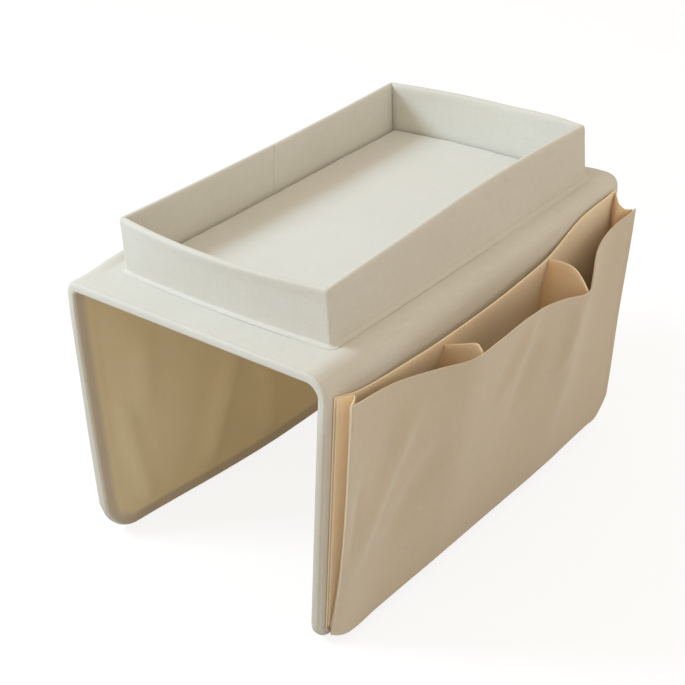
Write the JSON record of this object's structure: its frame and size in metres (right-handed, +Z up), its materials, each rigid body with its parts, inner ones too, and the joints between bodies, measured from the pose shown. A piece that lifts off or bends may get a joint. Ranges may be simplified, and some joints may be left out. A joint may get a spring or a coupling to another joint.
{
  "type": "sofa armrest organizer",
  "caption": "Cloth-covered saddle for a sofa arm, with hinged side panels, a low tray with a loose floor on top and a divided pleated pocket on one side.",
  "frame": {"origin": "middle of the underside of the top, where it rests on the sofa arm", "axes": "+X across the arm towards the pocket, +Y along the arm towards the back of the sofa, +Z up"},
  "size_m": [0.2399, 0.32, 0.2333],
  "materials": {
    "ivory_canvas": "plain-woven linen-look canvas",
    "insert_canvas": "fine plain-woven canvas",
    "tan_lining": "matt non-woven cloth",
    "apricot_cloth": "smooth matt cloth",
    "stiff_board": "grey fibre board, not seen"
  },
  "bodies": {
    "saddle_top": {"top_board": "stiff_board", "top_cover": "ivory_canvas", "top_lining": "tan_lining", "left_fold_canvas": "ivory_canvas", "left_fold_lining": "tan_lining", "right_fold_canvas": "ivory_canvas", "right_fold_lining": "tan_lining", "tray_wall_cover": "ivory_canvas", "tray_front_board": "stiff_board", "tray_rear_board": "stiff_board", "tray_left_board": "stiff_board", "tray_right_board": "stiff_board", "tray_foot_welt": "ivory_canvas"},
    "tray_insert": {"insert_board": "stiff_board", "insert_cover": "insert_canvas"},
    "left_panel": {"left_board": "stiff_board", "left_cover": "ivory_canvas", "left_lining": "tan_lining"},
    "right_panel": {"right_board": "stiff_board", "right_cover": "ivory_canvas", "right_lining": "tan_lining", "pocket_back_sheet": "apricot_cloth", "pocket_front_gusset": "apricot_cloth", "pocket_rear_gusset": "apricot_cloth", "pocket_front_divider": "apricot_cloth", "pocket_rear_divider": "apricot_cloth"},
    "pocket_front": {"pocket_front_sheet": "apricot_cloth"}
  },
  "joints": [
    {"name": "left_fold", "type": "hinge", "parent": "saddle_top", "child": "left_panel", "pos_m": [-0.1, 0, -0.0036], "axis": [0, 1, 0], "range_deg": [-28, 90], "deforming": ["left_fold_canvas", "left_fold_lining"]},
    {"name": "right_fold", "type": "hinge", "parent": "saddle_top", "child": "right_panel", "pos_m": [0.09988, 0, -0.0106], "axis": [0, -1, 0], "range_deg": [-22.1, 95.9], "deforming": ["right_fold_canvas", "right_fold_lining"]},
    {"name": "insert_lift", "type": "slide", "parent": "saddle_top", "child": "tray_insert", "axis": [0, 0, 1], "range_m": [0, 0.06]},
    {"name": "pocket_mouth", "type": "hinge", "parent": "right_panel", "child": "pocket_front", "pos_m": [0.08621, 0, -0.18567], "axis": [0, 1, 0], "range_deg": [-2, 9], "deforming": ["pocket_front_gusset", "pocket_rear_gusset", "pocket_front_divider", "pocket_rear_divider"]}
  ]
}
